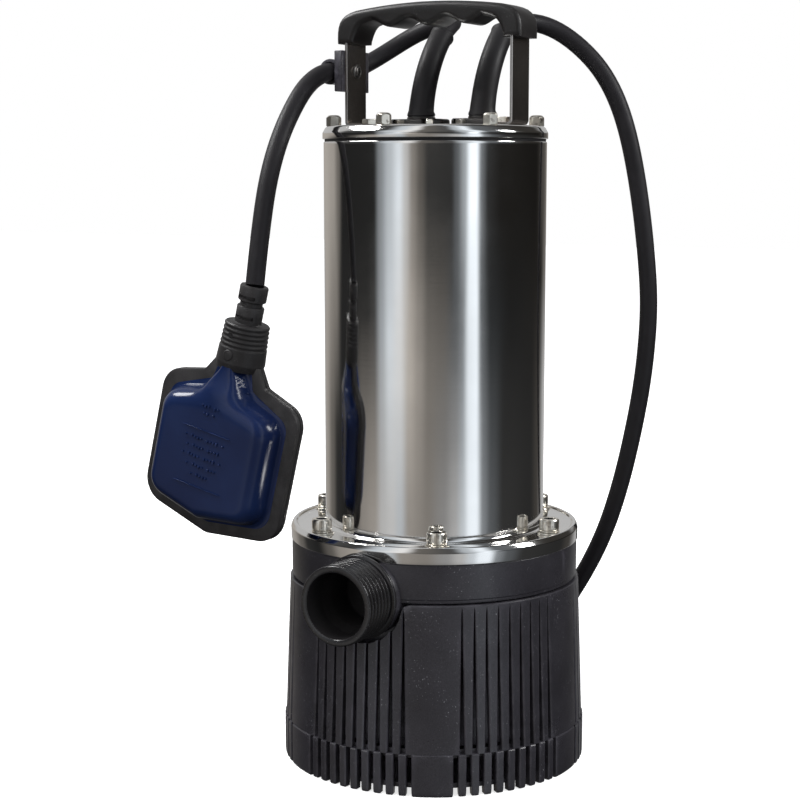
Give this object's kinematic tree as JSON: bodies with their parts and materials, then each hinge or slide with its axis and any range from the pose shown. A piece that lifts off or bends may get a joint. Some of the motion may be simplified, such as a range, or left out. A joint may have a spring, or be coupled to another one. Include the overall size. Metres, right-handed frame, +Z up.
{
  "type": "submersible sump pump",
  "caption": "Tall cylindrical submersible pump: slotted strainer base, side threaded outlet, steel motor shell, strap handle, hanging float switch and mains cable.",
  "frame": {"origin": "centre of the base at floor level, on the shaft's axis", "axes": "+Z up along the shaft; -Y out through the side outlet; the carrying handle runs along X, with the float's cable clip on its -X end"},
  "size_m": [0.2775, 0.3624, 0.4104],
  "materials": {
    "black_plastic": "satin black glass-filled plastic with a fine moulded grain",
    "outlet_black": "black moulded thread with a slight gloss",
    "gland_black": "satin black moulded plate",
    "grip_black": "satin black moulded handle",
    "grey_plastic": "grey glass-filled plastic",
    "cream_plastic": "cream moulded impeller plastic",
    "white_plastic": "white capacitor can",
    "red_plastic": "red switch cage",
    "tie_plastic": "black tie",
    "wire": "blue wire insulation",
    "stainless": "bright polished stainless sheet",
    "stainless_strap": "bright stainless strip",
    "stainless_fastener": "bright stainless fastener",
    "stage_steel": "pressed stainless",
    "bearing_steel": "ground steel",
    "bearing_balls": "polished steel balls",
    "nickel": "nickel-plated pins",
    "dark_steel": "blackened steel",
    "lamination": "stacked steel sheet",
    "cast_aluminium": "cast aluminium",
    "brass": "turned bronze",
    "copper": "varnished copper",
    "ceramic": "white ceramic",
    "rubber": "matte black rubber",
    "cable_rubber": "matte black cable sheath",
    "plug_black": "moulded rubber plug",
    "float_black": "satin black moulded plastic",
    "float_navy": "deep navy gloss plastic"
  },
  "bodies": {
    "root": {"filter_base": "black_plastic", "base_screws": "stainless_fastener", "suction_cover": "black_plastic", "stage_casings": "stage_steel", "stage_diffusers": "grey_plastic", "wear_rings": "brass", "pump_body": "black_plastic", "outlet_nipple": "outlet_black", "seal_plate": "stage_steel", "seal_seat": "ceramic", "lip_seal": "rubber", "lower_bracket": "cast_aluminium", "lower_bearing_outer": "bearing_steel", "upper_bracket": "cast_aluminium", "upper_bearing_outer": "bearing_steel", "stator_core": "lamination", "stator_windings": "copper", "motor_shell": "stainless", "capacitor": "white_plastic", "internal_leads": "wire", "flange_screws": "stainless_fastener", "flange_washers": "stainless_fastener", "lid_studs": "stainless_fastener", "lid_nuts": "stainless_fastener", "lid_gasket": "rubber", "lid": "stainless", "gland_plates": "gland_black", "gland_screws": "stainless_fastener", "float_boot": "rubber", "supply_boot": "rubber", "strap_left": "stainless_strap", "strap_right": "stainless_strap", "strap_bolts": "stainless_fastener", "grip": "grip_black", "cable_clip": "black_plastic", "clip_screw": "dark_steel", "float_lead": "cable_rubber", "supply_cord": "cable_rubber", "supply_coil": "cable_rubber", "coil_ties": "tie_plastic", "plug_body": "plug_black", "plug_pins": "nickel"},
    "rotor_group": {"shaft": "bearing_steel", "rotor": "lamination", "impeller_1": "cream_plastic", "impeller_2": "cream_plastic", "impeller_3": "cream_plastic", "impeller_nut": "stainless_fastener", "seal_head": "rubber", "lower_bearing_inner": "bearing_steel", "upper_bearing_inner": "bearing_steel"},
    "lower_cage": {"lower_bearing_balls": "bearing_balls"},
    "upper_cage": {"upper_bearing_balls": "bearing_balls"},
    "float": {"float_cable": "cable_rubber", "float_neck": "float_black", "float_front": "float_navy", "float_back": "float_navy", "float_rim": "float_black", "float_switch": "red_plastic"},
    "switch_ball": {"float_ball": "bearing_balls"}
  },
  "joints": [
    {"name": "rotor_spin", "type": "hinge", "parent": "root", "child": "rotor_group", "pos_m": [0, 0, 0.1], "axis": [0, 0, 1], "continuous": true},
    {"name": "lower_cage_spin", "type": "hinge", "parent": "root", "child": "lower_cage", "pos_m": [0, 0, 0.156], "axis": [0, 0, 1], "continuous": true},
    {"name": "upper_cage_spin", "type": "hinge", "parent": "root", "child": "upper_cage", "pos_m": [0, 0, 0.2845], "axis": [0, 0, 1], "continuous": true},
    {"name": "float_swing", "type": "hinge", "parent": "root", "child": "float", "pos_m": [-0.0621, -0.017, 0.3734], "axis": [-1, 0, 0], "range_deg": [0, 85]},
    {"name": "float_ball_roll", "type": "slide", "parent": "float", "child": "switch_ball", "axis": [0.2334, 0, 0.9724], "range_m": [0, 0.016]}
  ],
  "couplings": [
    {"joint": "lower_cage_spin", "follows": "rotor_spin", "ratio": 0.3816},
    {"joint": "upper_cage_spin", "follows": "rotor_spin", "ratio": 0.3808}
  ]
}
